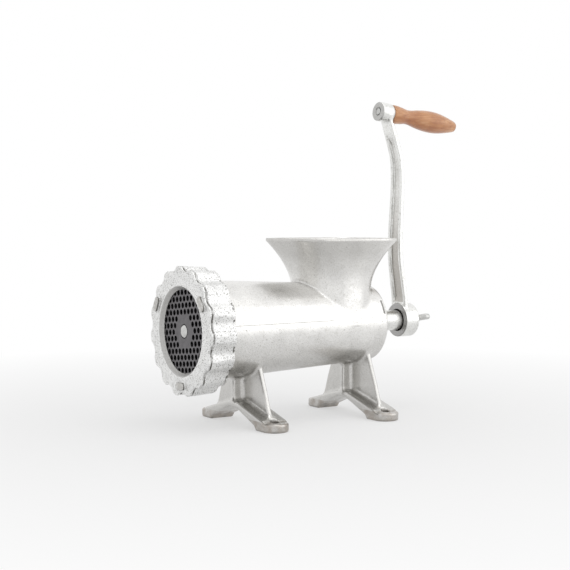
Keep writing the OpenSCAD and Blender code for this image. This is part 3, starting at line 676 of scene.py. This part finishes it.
def ground_steel(name, light, dark, roughness):
    """Carbon steel, surface ground and oiled. The eye gets a dull dark grey, a little cloudy from the
    oil, with the wheel's fine rings round the axis."""
    material, tree, shader, place = new_material(name, 1.0, roughness)
    cloud = add(tree, NOISE, {"Vector": place, "Scale": 1 / (6 * MM), "Detail": 3.0}).outputs["Fac"]
    colour = add(tree, RAMP, {"Fac": cloud}, [(0.3, dark), (0.7, light)]).outputs["Color"]
    tree.links.new(colour, shader.inputs["Base Color"])
    centred = add(tree, "ShaderNodeVectorMath", {0: place, 1: (0, 0, -axis_h * MM)}).outputs[0]
    rings = add(tree, "ShaderNodeTexWave", {"Vector": centred, "Scale": 1 / (6 * MM), "Distortion": 0.6},
                wave_type="RINGS", rings_direction="X").outputs["Fac"]
    normal = add(tree, BUMP, {"Height": rings, "Distance": 0.01 * MM, "Strength": 1.0}).outputs["Normal"]
    scratch = add(tree, NOISE, {"Vector": place, "Scale": 1 / (0.6 * MM), "Detail": 3.0}).outputs["Fac"]
    normal = add(tree, BUMP, {"Height": scratch, "Distance": 0.02 * MM, "Strength": 1.0,
                              "Normal": normal}).outputs["Normal"]
    tree.links.new(normal, shader.inputs["Normal"])
    return material


def turned_steel(name, light, dark, roughness):
    """Bright steel, turned on a lathe and polished. The eye gets a clean soft mirror with a few fine
    marks from handling."""
    material, tree, shader, place = new_material(name, 1.0, roughness)
    cloud = add(tree, NOISE, {"Vector": place, "Scale": 1 / (5 * MM), "Detail": 3.0}).outputs["Fac"]
    colour = add(tree, RAMP, {"Fac": cloud}, [(0.3, dark), (0.7, light)]).outputs["Color"]
    tree.links.new(colour, shader.inputs["Base Color"])
    marks = add(tree, NOISE, {"Vector": place, "Scale": 1 / (0.8 * MM), "Detail": 3.0}).outputs["Fac"]
    normal = add(tree, BUMP, {"Height": marks, "Distance": 0.02 * MM, "Strength": 1.0}).outputs["Normal"]
    tree.links.new(normal, shader.inputs["Normal"])
    return material


def varnished_beech(name):
    """Beech, turned and varnished. The eye gets a warm even tan with faint streaks along the grain,
    the short dark flecks of beech, and a soft gloss."""
    material, tree, shader, place = new_material(
        name, 0.0, 0.36, IOR=1.5, Coat_Weight=0.7, Coat_Roughness=0.24)
    along = add(tree, "ShaderNodeMapping", {"Vector": place, "Rotation": (0, handle_tilt, 0),
                                            "Scale": (0.08, 1.0, 1.0)}).outputs[0]
    streak = add(tree, NOISE, {"Vector": along, "Scale": 1 / (2.2 * MM), "Detail": 5.0}).outputs["Fac"]
    colour = add(tree, RAMP, {"Fac": streak},
                 [(0.3, "#BE7F52"), (0.5, "#D0935F"), (0.72, "#DFAA7C")]).outputs["Color"]
    patch = add(tree, NOISE, {"Vector": place, "Scale": 1 / (26 * MM), "Detail": 2.0}).outputs["Fac"]
    tone = add(tree, RAMP, {"Fac": patch}, [(0.35, "#D9BCAA"), (0.62, "#FFFFFF")]).outputs["Color"]
    colour = add(tree, MIX, {0: 1.0, 6: colour, 7: tone}, data_type="RGBA", blend_type="MULTIPLY").outputs[2]
    short = add(tree, "ShaderNodeMapping", {"Vector": along, "Scale": (4.0, 1.0, 1.0)}).outputs[0]
    flecks = add(tree, NOISE, {"Vector": short, "Scale": 1 / (0.9 * MM), "Detail": 1.0}).outputs["Fac"]
    fleck = add(tree, RAMP, {"Fac": flecks}, [(0.27, "#A87C5C"), (0.33, "#FFFFFF")]).outputs["Color"]
    colour = add(tree, MIX, {0: 0.5, 6: colour, 7: fleck}, data_type="RGBA", blend_type="MULTIPLY").outputs[2]
    tree.links.new(colour, shader.inputs["Base Color"])
    normal = add(tree, BUMP, {"Height": streak, "Distance": 0.03 * MM, "Strength": 1.0}).outputs["Normal"]
    tree.links.new(normal, shader.inputs["Normal"])
    return material


def pressed_fibre(name):
    """Vulcanised fibre, stamped from sheet. The eye gets a matt red-brown with faint paper flecks."""
    material, tree, shader, place = new_material(name, 0.0, 0.7)
    flecks = add(tree, NOISE, {"Vector": place, "Scale": 1 / (1.5 * MM), "Detail": 3.0}).outputs["Fac"]
    colour = add(tree, RAMP, {"Fac": flecks}, [(0.3, "#5A2E20"), (0.7, "#7A4430")]).outputs["Color"]
    tree.links.new(colour, shader.inputs["Base Color"])
    normal = add(tree, BUMP, {"Height": flecks, "Distance": 0.03 * MM, "Strength": 1.0}).outputs["Normal"]
    tree.links.new(normal, shader.inputs["Normal"])
    return material


everywhere = 1000.0  # A band with this as its end has no end
body_tin = tinned_iron("tinned_cast_iron", "#EDECEA", "#E4E3E1", 0.29, (0.9, 0.05, "#D2D1CC"), (1.8, 0.215))
x, y, z, radius = coordinates(body_tin)
# The mould's parting line is a thin grey line along the barrel, in front of the hopper
parting_z = axis_h + parting_h
mark(body_tin, "#8C8A86", 0.7, (z, parting_z - 0.35, parting_z + 0.35), (x, -everywhere, hopper_x - 28))
# Painted shade: the slit at the back is darkened
mark(body_tin, "#4E4C49", 0.8, (x, slit_x - 0.9, slit_x + 0.9), (z, axis_h + slit_low, axis_h + slit_high),
     (radius, barrel_rear_r - 4, barrel_rear_r - 0.1))
# Feet that the bench has rubbed show grey-brown iron. Painted shade: the casting is darkened towards its
# underside and legs, and round the upper hopper, most on its -X half.
mark(body_tin, "#B3A9A0", wear_and_shade_patches(body_tin, 9, 0.3, 0.62), (z, -5, pad_t + 1))
# Painted shade: darker below the axis, over the underside and the legs
under = add(body_tin.node_tree, RANGE, {"Value": z, "From Min": (axis_h - 14) * MM, "To Min": 0.0,
                                        "From Max": (axis_h - 38) * MM, "To Max": 0.42}).outputs["Result"]
mark(body_tin, "#A5A39F", under)
# Painted shade: the upper hopper is darkened, most on its -X half
painted_flank_shade = add(body_tin.node_tree, RANGE, {"Value": z, "From Min": (rim_h - 46) * MM, "To Min": 0.0,
                                        "From Max": (rim_h - 16) * MM, "To Max": 1.0}).outputs["Result"]
side = add(body_tin.node_tree, RANGE, {"Value": x, "From Min": hopper_x * MM, "To Min": 0.52,
                                       "From Max": (hopper_x + 45) * MM, "To Max": 0.1}).outputs["Result"]
mark(body_tin, "#A5A39F", add(body_tin.node_tree, MATH, {0: painted_flank_shade, 1: side}, operation="MULTIPLY").outputs[0])

ring_tin = tinned_iron("tinned_sand_casting", "#F0F0EF", "#E8E8E7", 0.46,
                       (1.1, 0.15, "#9A9995"), (1.4, 0.315))
x, y, z, radius = coordinates(ring_tin)
# Painted shade: the mouth's inner cone is greyed, and dark lines are painted round the lugs' walls and in the
# crease behind the bead. The lugs' tops are rubbed.
mark(ring_tin, "#B6B5B3", 0.9, (radius, 0, lip_front_r + 0.4))
mark(ring_tin, "#C0BEBA", wear_and_shade_patches(ring_tin, 4, 0.25, 0.55), (x, -everywhere, ring_front_x - 2.2))
# Painted shadow lines round the lugs' walls
mark(ring_tin, "#7C7A76", wear_and_shade_patches(ring_tin, 5, 0.2, 0.5), (x, ring_front_x - 2.2, ring_front_x - 0.5))
crease_x = ring_front_x + bead_w + crease_r
outer_side = (radius, 54, 80)
# Painted shade: a dark line in the crease behind the bead, on the outer side
mark(ring_tin, "#6A6864", wear_and_shade_patches(ring_tin, 7, 0.36, 0.56), (x, crease_x - 0.8, crease_x + 0.8), outer_side)
# Its back edge is rough where the mould broke away
back_edge = (x, ring_back_x - 3.4, ring_back_x - 0.7)
mark(ring_tin, "#6F6D68", wear_and_shade_patches(ring_tin, 4, 0.54, 0.6), back_edge, outer_side)

arm_tin = tinned_iron("tinned_crank_iron", "#F0F0EE", "#E4E4E2", 0.3, (1.0, 0.05, "#CDCCC7"), (1.8, 0.25))
x, y, z, radius = coordinates(arm_tin)
# The hub's front is turned. Painted shade: the arm's channel is darkened grey-brown, more low on the arm than
# up it.
mark(arm_tin, "#A3A2A1", 0.9, (x, hub_front_x - 1, hub_front_x + 0.7), (radius, 0, hub_r + 1))
mark(arm_tin, "#9C9B99", 0.65, (x, -everywhere, boss_mid[0] - 6.6), (z, boss_mid[2] - 13, everywhere))
tree = arm_tin.node_tree
aside = add(tree, MATH, {0: y}, operation="ABSOLUTE").outputs[0]
taper = (arm_low_w - arm_top_w) / 2 / crank_h
edge = add(tree, MATH, {0: z, 1: taper, 2: aside}, operation="MULTIPLY_ADD").outputs[0]
half_channel = arm_low_w / 2 - flange_w - 0.5 + taper * axis_h
# Painted shade in the arm's channel, strongest low on the arm
painted_channel_shade = add(tree, RANGE, {"Value": z, "From Min": (axis_h + 0.3 * crank_h) * MM, "To Min": 0.75,
                          "From Max": (axis_h + 0.6 * crank_h) * MM, "To Max": 0.2}).outputs["Result"]
mark(arm_tin, "#A8A39C", painted_channel_shade, (edge, -everywhere, half_channel), (z, axis_h + 21, axis_h + 0.88 * crank_h))

screw_tin = tinned_iron("tinned_screw_iron", "#EDEDEB", "#E2E2E0", 0.3, (1.0, 0.03, "#DEDDD9"), (1.8, 0.2))
plate_steel = ground_steel("ground_plate_steel", "#737173", "#646264", 0.42)
bright_steel = turned_steel("turned_bright_steel", "#D2D2D0", "#BDBDBB", 0.24)
beech = varnished_beech("varnished_beech")
fibre = pressed_fibre("pressed_fibre")


# ---- Pieces ----

def dress(obj, material, body, slot, *nodes):
    """Gives a piece its material, its body and the CAD nodes that it stands for."""
    obj.data.materials.clear()
    obj.data.materials.append(material)
    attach(obj, body)
    if nodes:
        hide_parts(*nodes)


casting = cast_object("body_casting_skin", body_shape, body_low, body_high, 0.9, [(9, 0.05), (3, 0.04)])
dress(casting, body_tin, "casting", "tinned_iron", "body_casting")
ring = cast_object("ring_nut_skin", ring_shape, ring_low, ring_high, 0.65, [(5, 0.12), (1.8, 0.1)])
dress(ring, ring_tin, "ring", "tinned_iron_ring", "ring_nut")
arm = cast_object("crank_arm_skin", arm_shape, arm_low, arm_high, 0.6, [(6, 0.06), (2, 0.04)])
dress(arm, arm_tin, "crank", "tinned_iron", "crank_arm")
thumb = cast_object("thumb_screw_skin", thumb_shape, screw_low, screw_high, 0.5, [(4, 0.05)])
dress(thumb, bright_steel, "screw", "bright_steel", "thumb_screw")
auger = cast_object("auger_skin", auger_shape, auger_low, auger_high, 1.0, [(5, 0.08)])
dress(auger, screw_tin, "crank", "tinned_iron", "auger")
dress(grip_object(), beech, "grip", "varnished_wood", "handle_grip")

kept_nodes = {
    plate_steel: ["grinder_plate", "knife"],
    bright_steel: ["front_stud", "plate_key", "crank_washer", "handle_spindle", "handle_washer",
                   "handle_end_washer", "rear_bush"],
    fibre: ["thrust_washer"],
}
for material, names in kept_nodes.items():
    for name in names:
        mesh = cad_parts[name].data
        mesh.materials.clear()
        mesh.materials.append(material)


# ---- Floor, light and camera ----

def background_share(tree):
    """1 for rays that see the background: straight from the camera, by reflection or through glass."""
    rays = add(tree, "ShaderNodeLightPath").outputs
    share = rays["Is Camera Ray"]
    for kind in ("Is Glossy Ray", "Is Transmission Ray"):
        share = add(tree, MATH, {0: share, 1: rays[kind]}, operation="MAXIMUM").outputs[0]
    return share


def floor_material():
    """White studio paper, cut from a roll. The eye gets a plain white ground that takes a soft shadow
    near the grinder and fades into the white background further out."""
    material, tree, shader, place = new_material("white_paper", 0.0, 0.9)
    shader.inputs["Base Color"].default_value = linear("#F4F4F4")
    glow = add(tree, "ShaderNodeEmission", {"Color": (1, 1, 1, 1), "Strength": 1.0})
    away = add(tree, "ShaderNodeVectorMath", {0: place}, operation="LENGTH").outputs["Value"]
    lift = add(tree, RANGE, {"Value": away, "From Min": 0.16, "From Max": 0.8,
                             "To Min": 0.5, "To Max": 1.0}).outputs["Result"]
    share = add(tree, MATH, {0: background_share(tree), 1: lift}, operation="MULTIPLY").outputs[0]
    mixed = add(tree, "ShaderNodeMixShader", {0: share, 1: shader.outputs[0], 2: glow.outputs[0]})
    tree.links.new(mixed.outputs[0], tree.nodes["Material Output"].inputs["Surface"])
    return material


floor_half = 6000.0
floor = new_object("floor", [(-floor_half, -floor_half, 0), (floor_half, -floor_half, 0),
                             (floor_half, floor_half, 0), (-floor_half, floor_half, 0)], [(0, 1, 2, 3)])
floor.data.materials.append(floor_material())

world = bpy.data.worlds.new("studio")
bpy.context.scene.world = world
world.use_nodes = True
sky = world.node_tree.nodes["Background"]
sky_level = 0.6
level = add(world.node_tree, RANGE, {"Value": background_share(world.node_tree),
                                     "To Min": sky_level, "To Max": 1.0}).outputs["Result"]
world.node_tree.links.new(level, sky.inputs["Strength"])
sky.inputs["Color"].default_value = (1, 1, 1, 1)

middle = Vector((0, 0, axis_h * MM))


def softbox(name, direction, distance, size, radiance):
    """A square studio lamp that faces the grinder, of the given radiance."""
    data = bpy.data.lights.new(name, "AREA")
    data.size = size
    data.energy = radiance * math.pi * size * size
    lamp = bpy.data.objects.new(name, data)
    bpy.context.scene.collection.objects.link(lamp)
    lamp.location = middle + Vector(direction).normalized() * distance
    lamp.rotation_euler = (middle - lamp.location).to_track_quat("-Z", "Y").to_euler()


softbox("key_softbox", (0.75, -1.0, 0.35), 1.7, 1.9, 0.6)
softbox("top_softbox", (0.1, -0.25, 1.0), 1.6, 1.0, 1.15)

camera_place = Vector((-754.1, -1148.7, 218.6)) * MM
camera_aim = Vector((-13.37, 8.55, 147.47)) * MM
camera_data = bpy.data.cameras.new("camera")
camera_data.lens = 78.80
camera_data.sensor_width = 36
camera_data.clip_end = 50
camera = bpy.data.objects.new("camera", camera_data)
bpy.context.scene.collection.objects.link(camera)
camera.location = camera_place
camera.rotation_euler = (camera_aim - camera_place).to_track_quat("-Z", "Y").to_euler()
bpy.context.scene.camera = camera
bpy.context.scene.view_settings.view_transform = "Standard"
